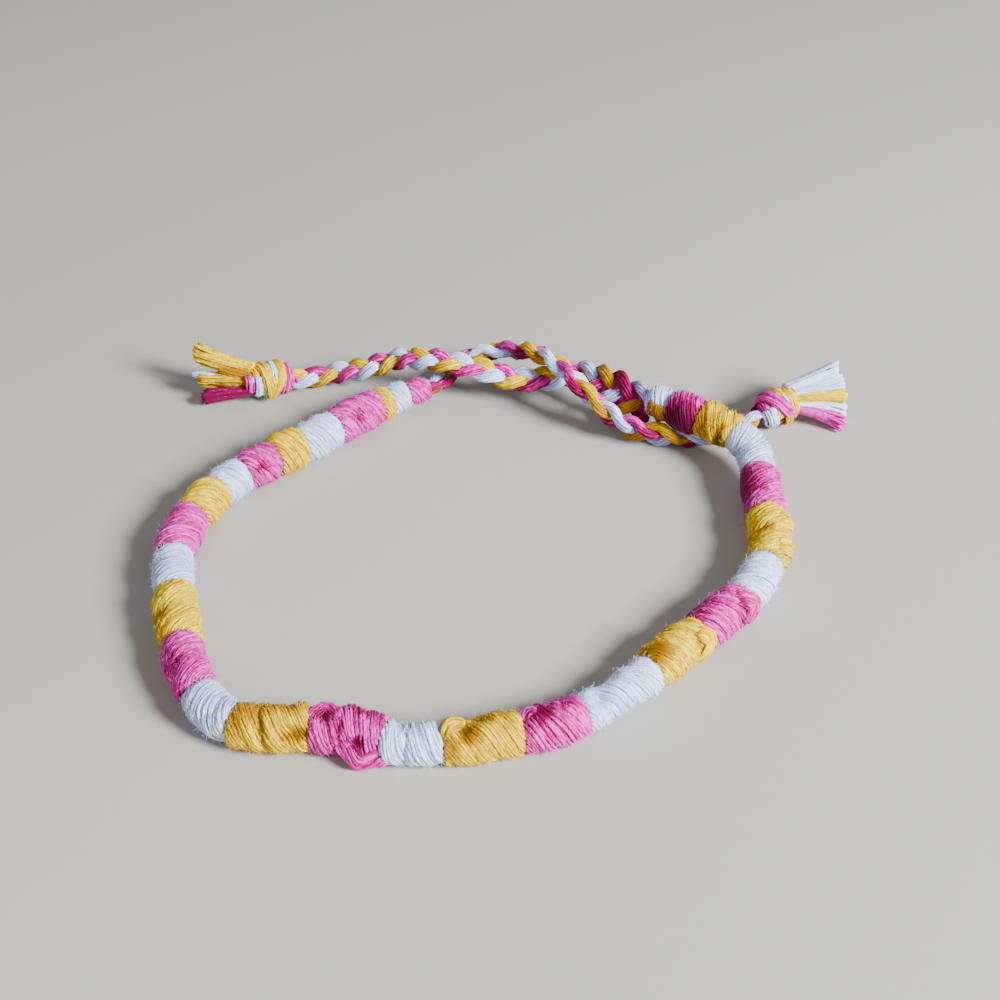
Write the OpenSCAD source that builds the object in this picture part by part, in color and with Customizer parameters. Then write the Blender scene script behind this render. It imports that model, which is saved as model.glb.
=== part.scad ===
// A thread bracelet: a band of knotted wraps in three colours, lying open in a loop, with a braided
// tie, a knot and a cut tassel at each end. Millimetres, +Z up. The origin is on the surface under
// the middle of the band, +X to the right and +Y towards the ties.

/* [Wrapped band] */
// Thickness of every wrapped section, as a share of the table's
fullness = 1; // [0.9:0.01:1]
// Thickness where two sections meet, as a share of a section's middle
pinch = 0.86; // [0.75:0.01:0.95]
// Gap between two neighbouring sections
seam = 0.1; // [0.05:0.05:0.2]
// Height of the knot ridge over the wraps
ridge_height = 0.2; // [0:0.05:0.3]
// Length of band in which the knot ridge goes once round
ridge_lead = 21; // [12:1:40]

/* [Ties] */
// Thickness of a braided tie
tie_d = 2.4; // [2:0.1:2.4]

/* [End knots] */
// Thickness of the knot in the end of a tie
knot_d = 4.5; // [3.6:0.1:4.6]
// Length of the knot along the tie
knot_length = 4.2; // [3:0.2:4.4]

/* [Tassels] */
// Thickness of a tassel where it leaves its knot
tassel_neck = 2.8; // [2.2:0.1:3.2]
// Width of a tassel at its cut end
tassel_width = 7.2; // [5:0.2:7.6]
// Height of a tassel at its cut end
tassel_height = 6.8; // [5:0.2:7]

/* [Hidden] */
PINK = 0;
WHITE = 1;
YELLOW = 2;
colour_names = ["pink", "white", "yellow"];
colours = [[0.87, 0.36, 0.62], [0.92, 0.92, 0.95], [0.92, 0.74, 0.27]];
braid_colour = [0.9, 0.66, 0.6];

// Columns of the table of sections
COLOUR = 0;
LENGTH = 1;
THICKNESS = 2;

// The wrapped sections in order, from the left end of the band round the front to its right end
sections = [
    [PINK, 2.8, 3],
    [WHITE, 2.4, 3.6],
    [YELLOW, 1.6, 4],
    [PINK, 6.4, 4.5],
    [WHITE, 4.8, 4.5],
    [YELLOW, 3.8, 4.8],
    [PINK, 4.2, 4.5],
    [WHITE, 3.8, 4.3],
    [YELLOW, 4.8, 4.5],
    [PINK, 6.8, 4.4],
    [WHITE, 5.6, 4.2],
    [YELLOW, 7.8, 4.5],
    [PINK, 7.2, 4.3],
    [WHITE, 5.4, 4.1],
    [YELLOW, 7.2, 4.4],
    [PINK, 6.8, 4.5],
    [WHITE, 5.4, 3.9],
    [YELLOW, 7.2, 4.5],
    [PINK, 6, 4.4],
    [WHITE, 8.8, 3.9],
    [YELLOW, 7.2, 4.4],
    [PINK, 7, 4.4],
    [WHITE, 6.2, 4.1],
    [YELLOW, 8.2, 4.6],
    [PINK, 6.8, 4.5],
    [WHITE, 6, 4],
    [YELLOW, 4.4, 4.5],
    [PINK, 3.6, 4.6],
    [WHITE, 2.8, 3.7],
];

// The band's middle line from its left end, anticlockwise: x, y and the height over the surface
band_route = [
    [-6, 28.5, 2.6], [-9.5, 26.5, 2.5], [-14, 23, 2.4], [-18, 19, 2.3], [-22.5, 15, 2.3],
    [-27, 10.5, 2.2], [-29.5, 6, 2.2], [-31, 0.5, 2.1], [-30.5, -5.5, 2.2], [-28.5, -13.5, 2.1],
    [-26.5, -19.5, 2.1], [-23, -24.5, 2], [-18.5, -26, 2.1], [-11, -26.5, 2.2], [-4.5, -28, 2],
    [2.5, -27, 2.1], [8, -25.5, 2.1], [14, -21.5, 2], [19, -16.5, 2.1], [24, -11.5, 2.1],
    [28, -7, 2.2], [30.5, -1, 2.3], [31, 5.5, 2.3], [31, 11, 2.9], [30.5, 14.5, 3.9],
    [27.5, 17.5, 4.8], [23.5, 20, 5.1], [20, 22.5, 5.1],
];

// The tie of the band's left end: up behind the other tie, over it, and under the band's right end
left_tie_route = [
    [-6, 28.5, 2.6], [-5.2, 29, 2.6], [-4.2, 30.5, 2.5], [-3.2, 32.8, 2.5], [-1.2, 34.7, 2.8],
    [1, 35.1, 3.4], [3, 34.5, 4.1], [5, 33.3, 4.8], [6.5, 31.7, 5.5], [8, 29.7, 6.1],
    [9.7, 27.3, 6.3], [11.5, 25, 5.7], [13.5, 23.2, 4.4], [15.5, 21.9, 3], [18, 21, 1.8],
    [21, 20.5, 1.3], [24, 20.3, 1.2], [27, 20.7, 1.2], [29.3, 21.8, 1.2], [31.3, 23.2, 1.3],
    [33, 23.9, 1.8],
];

// The tie of the band's right end: under the other tie, then over its root and down to the left
right_tie_route = [
    [20, 22.5, 5.1], [18.6, 23.5, 5.1], [17.5, 24.5, 5.2], [16, 26, 5.2], [14.5, 27.5, 4.9],
    [13, 28.8, 4.5], [11.5, 29.5, 4], [10, 29.5, 3.7], [8, 29, 3.5], [6, 28.8, 3.5],
    [3.5, 28.8, 3.9], [0.5, 29, 4.8], [-2, 29, 5.5], [-4.5, 29.5, 5.8], [-7, 30.5, 5.5],
    [-9, 31.5, 4.8], [-11, 32, 4], [-13.5, 32, 3.1], [-16.5, 32.5, 2.3], [-19, 32.5, 1.7],
    [-21, 32.1, 1.6], [-22.5, 31.5, 1.9],
];

// The middle of each tassel's cut end
left_tassel_tip = [43, 25.2, 3.3];
right_tassel_tip = [-34, 29.5, 3.5];

steps_per_point = 5;
ring_sides = 16;
rings_per_section = 8;
ridge_power = 6;
bulge_power = 0.6;
tie_sides = 8;
tie_ring_spacing = 1.4;
tassel_rings = 7;
tassel_flare = 1.4;
knot_arc_steps = 10;
knot_facets = 32;
tangent_reach = 0.3;

function unit(v) = v / norm(v);

function two_digits(n) = n < 10 ? str("0", n) : str(n);

function section_name(i) = str("wrap_", two_digits(i + 1), "_", colour_names[sections[i][COLOUR]]);

// A point of the smooth curve through q and r, whose neighbours are p and s
function curve_point(p, q, r, s, t) =
    q + (r - p) * t / 2 + (2 * p - 5 * q + 4 * r - s) * t * t / 2 + (3 * q - 3 * r + s - p) * t * t * t / 2;

// A route's points, filled in along the smooth curve through them
function smooth_line(route) =
    let (last = len(route) - 1)
    concat(
        [for (i = [0 : last - 1], k = [0 : steps_per_point - 1])
            curve_point(
                route[max(i - 1, 0)], route[i], route[i + 1], route[min(i + 2, last)], k / steps_per_point
            )],
        [route[last]]
    );

// Each point of a line, with the distance to it along the line put in front
function measured(line) =
    [for (i = 0, run = 0; i < len(line); i = i + 1, run = run + norm(line[min(i, len(line) - 1)] - line[i - 1]))
        [run, line[i][0], line[i][1], line[i][2]]];

function total_length(stations) = stations[len(stations) - 1][0];

// The place at a distance along a measured line
function place(stations, run) =
    [for (axis = [1 : 3]) lookup(run, [for (station = stations) [station[0], station[axis]]])];

function heading(stations, run) =
    unit(place(stations, run + tangent_reach) - place(stations, run - tangent_reach));

// What rests on the surface is flattened against it
function flattened(point) = [point[0], point[1], max(point[2], 0)];

// A ring round a middle, square to a direction: the radii go from the side, over the top, and round
function ring(middle, along, side_radii, top_radii) =
    let (
        side = unit(cross(along, [0, 0, 1])),
        top = cross(side, along),
        count = len(side_radii)
    )
    [for (j = [0 : count - 1])
        let (angle = 360 * j / count)
        flattened(middle + side_radii[j] * cos(angle) * side + top_radii[j] * sin(angle) * top)];

// A closed solid through a row of rings of equal numbers of points
module skin(rings) {
    sides = len(rings[0]);
    last = len(rings) - 1;
    side_faces = [for (i = [0 : last - 1], j = [0 : sides - 1])
        let (a = i * sides + j, b = i * sides + (j + 1) % sides)
        each [[a, b, b + sides], [a, b + sides, a + sides]]];
    first_cap = [[for (j = [sides - 1 : -1 : 0]) j]];
    last_cap = [[for (j = [0 : sides - 1]) last * sides + j]];
    polyhedron(points = [for (each_ring = rings) each each_ring], faces = concat(first_cap, side_faces, last_cap));
}

band_line = measured(smooth_line(band_route));
left_tie_line = measured(smooth_line(left_tie_route));
right_tie_line = measured(smooth_line(right_tie_route));

table_length = [for (row = sections) 1] * [for (row = sections) row[LENGTH]];
stretch = total_length(band_line) / table_length;

// Distance along the band to the start of a section, or to the band's end past the last one
function section_start(i) =
    i == 0 ? 0 : stretch * ([for (k = [0 : i - 1]) 1] * [for (k = [0 : i - 1]) sections[k][LENGTH]]);

// The radius of the wraps at a share of a section's length: pinched ends and a full middle
function wrap_radius(i, share) =
    fullness * sections[i][THICKNESS] / 2 * (pinch + (1 - pinch) * pow(sin(180 * share), bulge_power));

// The knot ridge winds round the band, and fades out at a section's ends
function ridge_radius(angle, run, share) =
    ridge_height * sin(180 * share) * pow(max(0, cos(angle - 360 * run / ridge_lead)), ridge_power);

module wrapped_section(i) {
    start = section_start(i) + seam / 2;
    finish = section_start(i + 1) - seam / 2;
    rings = [for (k = [0 : rings_per_section - 1])
        let (
            share = k / (rings_per_section - 1),
            run = start + (finish - start) * share,
            radii = [for (j = [0 : ring_sides - 1])
                wrap_radius(i, share) + ridge_radius(360 * j / ring_sides, run, share)]
        )
        ring(place(band_line, run), heading(band_line, run), radii, radii)];
    color(colours[sections[i][COLOUR]]) skin(rings);
}

// A braided tie as a plain tube from the band's end to its knot
module tie(line) {
    start = seam;
    finish = total_length(line) - seam;
    last = ceil((finish - start) / tie_ring_spacing);
    radii = [for (j = [0 : tie_sides - 1]) tie_d / 2];
    rings = [for (k = [0 : last])
        let (run = start + (finish - start) * k / last)
        ring(place(line, run), heading(line, run), radii, radii)];
    color(braid_colour) skin(rings);
}

// The overhand knot at the end of a tie, its two flat faces square to the tie
module end_knot(line) {
    along = heading(line, total_length(line));
    arc = [for (k = [0 : knot_arc_steps])
        let (angle = 180 * k / knot_arc_steps)
        [tie_d / 2 + (knot_d - tie_d) / 2 * sin(angle), knot_length / 2 * (1 - cos(angle))]];
    color(braid_colour)
        translate(place(line, total_length(line)))
        rotate([0, acos(along[2]), atan2(along[1], along[0])])
        rotate_extrude($fn = knot_facets) polygon(concat([[0, 0]], arc, [[0, knot_length]]));
}

// The cut threads past a knot, as the one flared form that they fill
module tassel(line, tip) {
    along = heading(line, total_length(line));
    root = place(line, total_length(line)) + (knot_length + seam) * along;
    bend = root + norm(tip - root) / 3 * along;
    rings = [for (k = [0 : tassel_rings - 1])
        let (
            share = k / (tassel_rings - 1),
            flare = pow(share, 1 / tassel_flare),
            middle = root * pow(1 - share, 2) + bend * 2 * share * (1 - share) + tip * share * share,
            direction = unit((bend - root) * (1 - share) + (tip - bend) * share),
            side_radius = (tassel_neck + (tassel_width - tassel_neck) * flare) / 2,
            top_radius = (tassel_neck + (tassel_height - tassel_neck) * flare) / 2
        )
        ring(
            middle, direction,
            [for (j = [0 : ring_sides - 1]) side_radius],
            [for (j = [0 : ring_sides - 1]) top_radius]
        )];
    color(colours[YELLOW]) skin(rings);
}

module tie_left() tie(left_tie_line);
module tie_right() tie(right_tie_line);
module knot_left() end_knot(left_tie_line);
module knot_right() end_knot(right_tie_line);
module tassel_left() tassel(left_tie_line, left_tassel_tip);
module tassel_right() tassel(right_tie_line, right_tassel_tip);

section_names = [for (i = [0 : len(sections) - 1]) section_name(i)];

for (i = [0 : len(sections) - 1])
    wrapped_section(i);
tie_left();
tie_right();
knot_left();
knot_right();
tassel_left();
tassel_right();
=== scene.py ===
from collections import namedtuple

import bpy
import numpy as np
from bpy.props import FloatProperty, FloatVectorProperty, PointerProperty
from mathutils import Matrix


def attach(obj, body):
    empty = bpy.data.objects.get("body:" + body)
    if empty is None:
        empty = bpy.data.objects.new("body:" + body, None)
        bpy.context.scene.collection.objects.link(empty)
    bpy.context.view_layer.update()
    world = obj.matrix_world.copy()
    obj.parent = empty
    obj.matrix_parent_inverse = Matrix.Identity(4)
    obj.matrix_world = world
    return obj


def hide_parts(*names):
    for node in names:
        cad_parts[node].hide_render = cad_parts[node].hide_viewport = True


bl_info = {
    "name": "Woven thread bracelet",
    "version": (1, 0, 0),
    "blender": (4, 5, 0),
    "location": "3D View > Sidebar > Bracelet",
    "description": "Wraps, braids, knots and tassels of a cotton thread bracelet",
    "category": "Object",
}

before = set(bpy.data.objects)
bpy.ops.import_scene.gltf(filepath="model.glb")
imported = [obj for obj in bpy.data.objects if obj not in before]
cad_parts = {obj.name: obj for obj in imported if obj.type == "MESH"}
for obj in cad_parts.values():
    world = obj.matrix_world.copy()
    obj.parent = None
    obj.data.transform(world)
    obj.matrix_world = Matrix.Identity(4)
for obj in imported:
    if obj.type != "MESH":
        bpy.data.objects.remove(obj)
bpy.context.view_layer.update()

MM = 0.001
UP = np.array([0.0, 0.0, 1.0])
PINK, WHITE, YELLOW = 0, 1, 2
COLOUR_NAMES = ("pink", "white", "yellow")

# The bare band at each end of a section, in millimetres
SECTION_GAP = 0.04

# A thread's tube: its height as a share of its width, the swell of its two plies where it is laid tight
# and where it lies loose, and the shade of the groove between them
THREAD_FLAT = 0.9
TIGHT_PLY, LOOSE_PLY = 0.12, 0.14
GROOVE_SHADE = 0.22

# A wrapped thread: the rings that its tube has in one turn, and in millimetres the length at each end of
# the section in which it dives under, and how deep
TURN_RINGS, WRAP_EDGE, WRAP_DIVE = 34, 0.5, 0.16

# Stray fibres: half their thickness at the root in millimetres, how far they curl as a share of their
# length, and how many each colour has as a share of the usual number
FIBRE_HALF, FIBRE_CURL = 0.022, 0.45
FIBRE_SHARES = (0.8, 1.3, 1.0)

# The wrapped sections in order: colour, length and thickness in millimetres, and the length of band that
# one turn of its threads covers
Section = namedtuple("Section", "colour length thick lead")
SECTIONS = [Section(*row) for row in (
    (PINK, 2.8, 3, 5), (WHITE, 2.4, 3.6, 5), (YELLOW, 1.6, 4, 5), (PINK, 6.4, 4.5, 6),
    (WHITE, 4.8, 4.5, 6), (YELLOW, 3.8, 4.8, 5), (PINK, 4.2, 4.5, 6), (WHITE, 3.8, 4.3, 4.5),
    (YELLOW, 4.8, 4.5, 6), (PINK, 6.8, 4.4, 5), (WHITE, 5.6, 4.2, 4.5), (YELLOW, 7.8, 4.5, 10),
    (PINK, 7.2, 4.3, 7.5), (WHITE, 5.4, 4.1, 4.5), (YELLOW, 7.2, 4.4, 7), (PINK, 6.8, 4.5, 4.5),
    (WHITE, 5.4, 3.9, 4), (YELLOW, 7.2, 4.5, 7), (PINK, 6, 4.4, 6), (WHITE, 8.8, 3.9, 5.5),
    (YELLOW, 7.2, 4.4, 5), (PINK, 7, 4.4, 5.5), (WHITE, 6.2, 4.1, 5), (YELLOW, 8.2, 4.6, 10),
    (PINK, 6.8, 4.5, 9), (WHITE, 6, 4, 4.5), (YELLOW, 4.4, 4.5, 6), (PINK, 3.6, 4.6, 5),
    (WHITE, 2.8, 3.7, 4.5),
)]

# The three routes: x, y and height over the surface in millimetres
BAND_ROUTE = [
    (-6, 28.5, 2.6), (-9.5, 26.5, 2.5), (-14, 23, 2.4), (-18, 19, 2.3), (-22.5, 15, 2.3),
    (-27, 10.5, 2.2), (-29.5, 6, 2.2), (-31, 0.5, 2.1), (-30.5, -5.5, 2.2), (-28.5, -13.5, 2.1),
    (-26.5, -19.5, 2.1), (-23, -24.5, 2), (-18.5, -26, 2.1), (-11, -26.5, 2.2), (-4.5, -28, 2),
    (2.5, -27, 2.1), (8, -25.5, 2.1), (14, -21.5, 2), (19, -16.5, 2.1), (24, -11.5, 2.1),
    (28, -7, 2.2), (30.5, -1, 2.3), (31, 5.5, 2.3), (31, 11, 2.9), (30.5, 14.5, 3.9),
    (27.5, 17.5, 4.8), (23.5, 20, 5.1), (20, 22.5, 5.1),
]
LEFT_TIE_ROUTE = [
    (-6, 28.5, 2.6), (-5.2, 29, 2.6), (-4.2, 30.5, 2.5), (-3.2, 32.8, 2.5), (-1.2, 34.7, 2.8),
    (1, 35.1, 3.4), (3, 34.5, 4.1), (5, 33.3, 4.8), (6.5, 31.7, 5.5), (8, 29.7, 6.1),
    (9.7, 27.3, 6.3), (11.5, 25, 5.7), (13.5, 23.2, 4.4), (15.5, 21.9, 3), (18, 21, 1.8),
    (21, 20.5, 1.3), (24, 20.3, 1.2), (27, 20.7, 1.2), (29.3, 21.8, 1.2), (31.3, 23.2, 1.3),
    (33, 23.9, 1.8),
]
RIGHT_TIE_ROUTE = [
    (20, 22.5, 5.1), (18.6, 23.5, 5.1), (17.5, 24.5, 5.2), (16, 26, 5.2), (14.5, 27.5, 4.9),
    (13, 28.8, 4.5), (11.5, 29.5, 4), (10, 29.5, 3.7), (8, 29, 3.5), (6, 28.8, 3.5),
    (3.5, 28.8, 3.9), (0.5, 29, 4.8), (-2, 29, 5.5), (-4.5, 29.5, 5.8), (-7, 30.5, 5.5),
    (-9, 31.5, 4.8), (-11, 32, 4), (-13.5, 32, 3.1), (-16.5, 32.5, 2.3), (-19, 32.5, 1.7),
    (-21, 32.1, 1.6), (-22.5, 31.5, 1.9),
]

# Marks that the knots leave in the wraps, and patches of painted shade, where the depth is nothing, over
# sides or whole sections that lie in shade. The columns are: section, share of its length, angle round the
# band (0 is the outer side and 90 the top), half length and half width in millimetres, depth (a bump if
# negative), shade (painted shade, in the knots' dents and on those shaded patches), and how far the threads
# are drawn to it (nothing, where one of these two isn't given).
Mark = namedtuple("Mark", "section share turn half_length half_width depth shade draw", defaults=(0, 0))
MARKS = [Mark(*row) for row in (
    (4, 0.6, 145, 0.9, 0.9, 0.35, 0.9, 0.5), (6, 0.54, 145, 0.7, 0.8, 0.3, 0.8, 0.5),
    (7, 0.62, 148, 1, 1, 0.4, 0.9, 0.5), (9, 0.5, 150, 0.7, 0.8, 0.2, 0.6, 0.2),
    (10, 0.4, 40, 1.6, 1.8, 0.05, 0.5), (11, 0.5, 90, 2.4, 3, 0, 0.65),
    (12, 0.08, 85, 0.7, 1.2, 0.25, 0.9, 0.2), (12, 0.58, 35, 0.9, 1.2, 0.3, 0.8, 0.3),
    (12, 0.7, 5, 2.4, 1.6, 0, 0.8), (13, 0.5, 50, 1.8, 1.4, 0.1, 0.6),
    (14, 0.4, 30, 1, 1.2, -0.15, 0, 0.1), (14, 0.5, 80, 2.6, 3, 0, 0.55),
    (15, 0.14, 90, 1.5, 2.4, 0.05, 1), (15, 0.28, 125, 0.3, 1.4, 0.4, 0.8, 0.2),
    (15, 0.36, 92, 0.3, 1.4, 0.45, 0.9, 0.2), (15, 0.42, 55, 0.3, 1.4, 0.4, 0.8, 0.2),
    (15, 0.46, 15, 0.3, 1.4, 0.35, 0.7, 0.2), (15, 0.86, 32, 1.1, 0.9, 0.4, 2, 0.4),
    (15, 0.9, 120, 0.8, 1.6, -0.35), (15, 0.25, -15, 1.2, 1.6, -0.25), (15, 0.64, 116, 2.4, 1.1, 0, 0.8),
    (16, 0.2, 90, 1.2, 0.9, 0.4, 1.5, 0.3), (16, 0.42, 60, 0.35, 1.8, 0.3, 0.7, 0.1),
    (16, 0.68, 14, 0.9, 0.9, 0.5, 1.7, 0.8), (16, 0.72, 112, 1.8, 1, 0, 0.8),
    (16, 0.82, -27, 1.8, 1.1, -0.66), (16, 0.37, 125, 0.5, 1, 0.3, 0.3, 0.2),
    (16, 0.56, 122, 0.6, 1.2, -0.18), (17, 0.42, 45, 0.22, 2.4, 0.28, 0.6, 0.1),
    (17, 0.3, 95, 0.9, 0.9, 0.2, 0.3, 0.3), (17, 0.2, -2, 1, 1.5, -0.36),
    (17, 0.25, 125, 1, 1.4, 0.3, 0.3), (17, 0.85, 125, 1, 1.4, -0.22), (18, 0.6, 112, 2.2, 1.1, 0, 0.7),
    (18, 0.3, 72, 1.05, 1.3, 0.45, 2, 0.4), (18, 0.07, 36, 0.8, 1.6, 0.2, 1, 0.2),
    (18, 0.45, 122, 1.3, 1.3, 0.55), (19, 0.66, 108, 2, 1.2, 0, 0.6),
    (19, 0.3, 96, 1.7, 1.4, 0.2, 1.4, 0.2), (19, 0.05, 60, 0.4, 1.5, 0.1, 0.6),
    (20, 0.2, 76, 0.9, 1.1, 0.45, 1, 0.3), (20, 0.9, 10, 0.8, 1.2, -0.25),
    (20, 0.52, 84, 1.1, 1.2, -0.18), (20, 0.12, -25, 1, 1.4, -0.2), (20, 0.45, -50, 2, 2, 0.4),
    (20, 0.42, 132, 1.8, 1.5, 0.3), (21, 0.14, 98, 1.7, 1.8, 0.15, 1.6, 0.2),
    (21, 0.76, 40, 0.4, 1.4, 0.3, 0.9, 0.3), (22, 0.74, 42, 0.35, 1.2, 0.3, 1, 0.5),
    (22, 0.62, 5, 0.4, 0.8, 0.25, 0.7, 0.4), (22, 0.25, 120, 1.8, 1.6, 0, 0.9),
    (24, 0.26, 15, 0.9, 1.3, -0.12), (24, 0.74, 15, 0.9, 1.3, -0.14),
    (24, 0.55, 20, 0.5, 1.4, 0.25, 0.4, 0.2), (24, 0.42, 110, 0.9, 1.2, 0.3, 1.3, 0.5),
    (24, 0.32, 165, 1.9, 2, 0.42, 0.7), (25, 0.35, 100, 0.9, 1.2, 0.15, 0.8, 0.3),
    (25, 0.55, 160, 3, 2.2, 0, 1.2), (26, 0.45, 60, 0.8, 1, 0.15, 0.2, 0.2),
    (26, 0.4, 185, 2.6, 1.6, 0, 0.9), (27, 0.45, 50, 0.5, 1.6, 0.3, 0.9, 0.2),
    (27, 0.78, 165, 1.6, 1.9, 0, 1.1), (27, 0.22, 195, 0.6, 2.6, 0.2, 1.8, 0.1),
    (28, 0.5, 176, 2.6, 2.5, 0, 2), (29, 0.5, 200, 1.6, 1.8, 0, 0.9),
)]

# Threads that lie over the wraps where a knot was drawn tight: section, colour, start share and angle, end
# share and angle, bow along the band and round it, lift, number of threads, their spread, and the shade
# painted on them (painted light where it is below nothing). A loop's place in this list also picks its small
# bends.
Loop = namedtuple("Loop", "section colour share0 turn0 share1 turn1 bow swing lift threads spread shade")
LOOPS = [Loop(*row) for row in (
    (16, PINK, 0, 82, 0.4, 74, 0, 44, 0.1, 6, 1.3, -0.2),
    (16, PINK, 0.44, 18, 1.12, 2, 0, -34, 0.3, 9, 1.8, -0.2),
    (18, YELLOW, 0.03, 70, 0.28, 96, 0, 14, 0.06, 6, 1.2, -0.2),
    (19, PINK, 0, 84, 0.22, 100, 0, 14, 0.08, 5, 1, -0.2),
    (21, YELLOW, 0.8, 62, 0.66, -30, 0.2, 0, 0.1, 7, 1.6, 0),
    (22, PINK, 0.7, 70, 0.7, -16, 0.22, 0, 0.08, 8, 1.9, 0.1),
    (24, YELLOW, 0.12, 60, 0.34, -5, 0, 0, 0.04, 7, 1.6, 0),
    (24, YELLOW, 0.62, 60, 0.8, -5, 0, 0, 0.04, 7, 1.6, 0),
    (12, YELLOW, 0.06, 120, 0.36, 58, 0, 0, 0.05, 5, 1.1, 0),
    (29, YELLOW, 0.4, 150, 0.2, 235, 0.1, 0, 0.15, 8, 1.9, 0.9),
)]

# How far each end knot reaches along its tie, in millimetres
KNOT_REACH = {"left": 4.7, "right": 5.4}

# A knot's threads, in millimetres: half their thickness, the distance from one to the next, how far they
# lie inside the knot's form, how high a bundle's middle rises and how deep its ends dive
KNOT_THREAD, KNOT_SPACING, KNOT_INSET, KNOT_DOME, KNOT_DIVE = 0.165, 0.21, 0.20, 0.18, 0.8

# Bundles of thread round each end knot: colour, start angle and share of the knot's length, end angle
# and share, width and lift in millimetres
KNOT_BUNDLES = {
    "knot_left": [
        (PINK, 330, 0.2, -30, 0.12, 1.2, -0.3), (YELLOW, 330, 0.46, -30, 0.4, 1.2, -0.3),
        (WHITE, 330, 0.76, -30, 0.68, 1.2, -0.3), (YELLOW, 210, 0.36, 60, 0.68, 1, -0.05),
        (PINK, 300, 0.55, 160, 0.35, 1.3, -0.1), (WHITE, 300, 0.8, 170, 0.62, 1, -0.1),
        (YELLOW, 20, 0.86, -70, 0.8, 0.8, -0.05), (PINK, 175, 0.02, -18, 0.74, 1.7, 0.12),
        (WHITE, 55, 0.16, -110, 0.18, 1.3, 0.08), (YELLOW, 4, 0.6, -110, 0.52, 1, 0.12),
        (YELLOW, 170, 0.88, -30, 0.86, 1, 0.05), (PINK, 200, 0.99, 60, 0.97, 0.7, 0.1),
        (PINK, 10, 0.76, -60, 0.74, 0.6, 0.05),
    ],
    "knot_right": [
        (PINK, 330, 0.08, -30, 0.14, 1.2, -0.25), (YELLOW, 330, 0.46, -30, 0.36, 1.2, -0.3),
        (WHITE, 330, 0.72, -30, 0.64, 1.2, -0.3), (PINK, 250, 0.94, -110, 0.88, 1.2, -0.2),
        (PINK, 40, 0.15, 225, 0.2, 1.1, 0.05), (YELLOW, 40, 0.34, 165, 0.4, 1.2, 0.12),
        (WHITE, 45, 0.54, 160, 0.54, 0.8, 0), (YELLOW, 50, 0.84, 235, 0.5, 1.2, 0.14),
        (YELLOW, 140, 0.32, 230, 0.6, 1.1, 0.1), (WHITE, 135, 0.92, 235, 0.84, 0.9, 0.2),
        (PINK, 120, 1.07, 235, 1, 0.9, 0.25), (YELLOW, 60, 1, 140, 0.92, 0.8, 0),
    ],
}

# Bundles of cut thread in each tassel: colour, number of threads, the middle of the cut end in millimetres,
# its half height and half depth in the plane in which the fan leans, the same two halves at the knot, how far
# from the knot's middle it leaves as a share of its place at the cut end, and the shade painted on it, which
# is painted light where it is below nothing
TASSEL_BUNDLES = {
    "tassel_left": [
        (WHITE, 44, (42.1, 27.2, 5.85), 1.2, 1.3, 0.48, 1, 0.4, -0.6),
        (WHITE, 48, (42.7, 26.3, 4.75), 1.1, 1.6, 0.48, 1.2, 0.4, -0.6),
        (YELLOW, 42, (43, 25.3, 3.5), 0.98, 1.9, 0.45, 1.5, 0.4, -0.6),
        (WHITE, 36, (43, 24.4, 2.25), 0.78, 1.8, 0.4, 1.3, 0.4, -0.5),
        (PINK, 38, (42.8, 23.4, 1.3), 0.92, 1.5, 0.44, 1.1, 0.4, -0.6),
    ],
    "tassel_right": [
        (YELLOW, 50, (-33.9, 31.5, 5.7), 1.15, 1.2, 0.75, 1.1, 0.4, 0),
        (YELLOW, 34, (-30.9, 30.3, 4.1), 0.8, 1, 0.8, 1, 0.4, 0.8),
        (YELLOW, 42, (-33.4, 29.7, 3), 0.9, 1.2, 0.6, 1.1, 0.4, 0.1),
        (PINK, 38, (-32.9, 28.6, 1.3), 0.8, 1.2, 0.45, 1, 0.5, 0.9),
        (WHITE, 7, (-34.2, 29.8, 3.6), 0.35, 0.5, 0.2, 0.3, 0.4, 0),
    ],
}

# The middle of each tassel's cut end, and the directions of its bundles' height and depth
TASSEL_TIPS = {"tassel_left": (43, 25.2, 3.3), "tassel_right": (-34, 29.5, 3.5)}
TASSEL_HIGH, TASSEL_DEEP = np.array([0, 0.62, 0.785]), np.array([0, -0.785, 0.62])

# Each braided tie: the length in millimetres in which a strand comes back to its place, and at shares of its
# length its width, the angle in degrees by which the braid stands up from level, the share of a period by
# which it starts late, the shade painted on it, and how far it hangs to its lower side in millimetres
BRAIDS = {
    "tie_left": (10, [
        (0, 2, 20, 1.2, 0.8, 0), (0.07, 2.5, 30, 1, 0.6, 0), (0.18, 2.8, 30, 0.8, 0.1, 0),
        (0.48, 3.1, 38, 0.73, 0.1, 0), (0.59, 3.9, 52, 0.68, 0.1, -0.4), (0.76, 4.1, 52, 0.76, 0.1, -0.6),
        (0.88, 3, 35, 0.8, 0.1, 0), (1, 2.5, 20, 0.8, 0.1, 0),
    ]),
    "tie_right": (8, [
        (0, 4.6, 62, 0.7, 1.1, 0.8), (0.08, 4.8, 60, 0.68, 1.1, 0.9), (0.16, 4.2, 50, 0.65, 0.6, 0.6),
        (0.26, 3.2, 35, 0.667, 0.1, 0), (0.5, 2.9, 25, 0.667, 0.1, 0), (1, 2.7, 30, 0.667, 0.1, 0),
    ]),
}

# A braid: how many threads a strand has, and in millimetres half their thickness, how far the strand
# passes over and under the others, and the length over which it draws in at the tie's ends
STRAND_THREADS, BRAID_THREAD, BRAID_RISE, BRAID_EASE = 10, 0.185, 0.50, 1.6

# The camera's place, its tilt in degrees from looking straight down, and its lens and film, in millimetres
CAMERA_PLACE = (2.628, -120.390, 101.976)
CAMERA_TILT = 52.0
CAMERA_LENS, CAMERA_FILM = 54.0, 36.0

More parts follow.
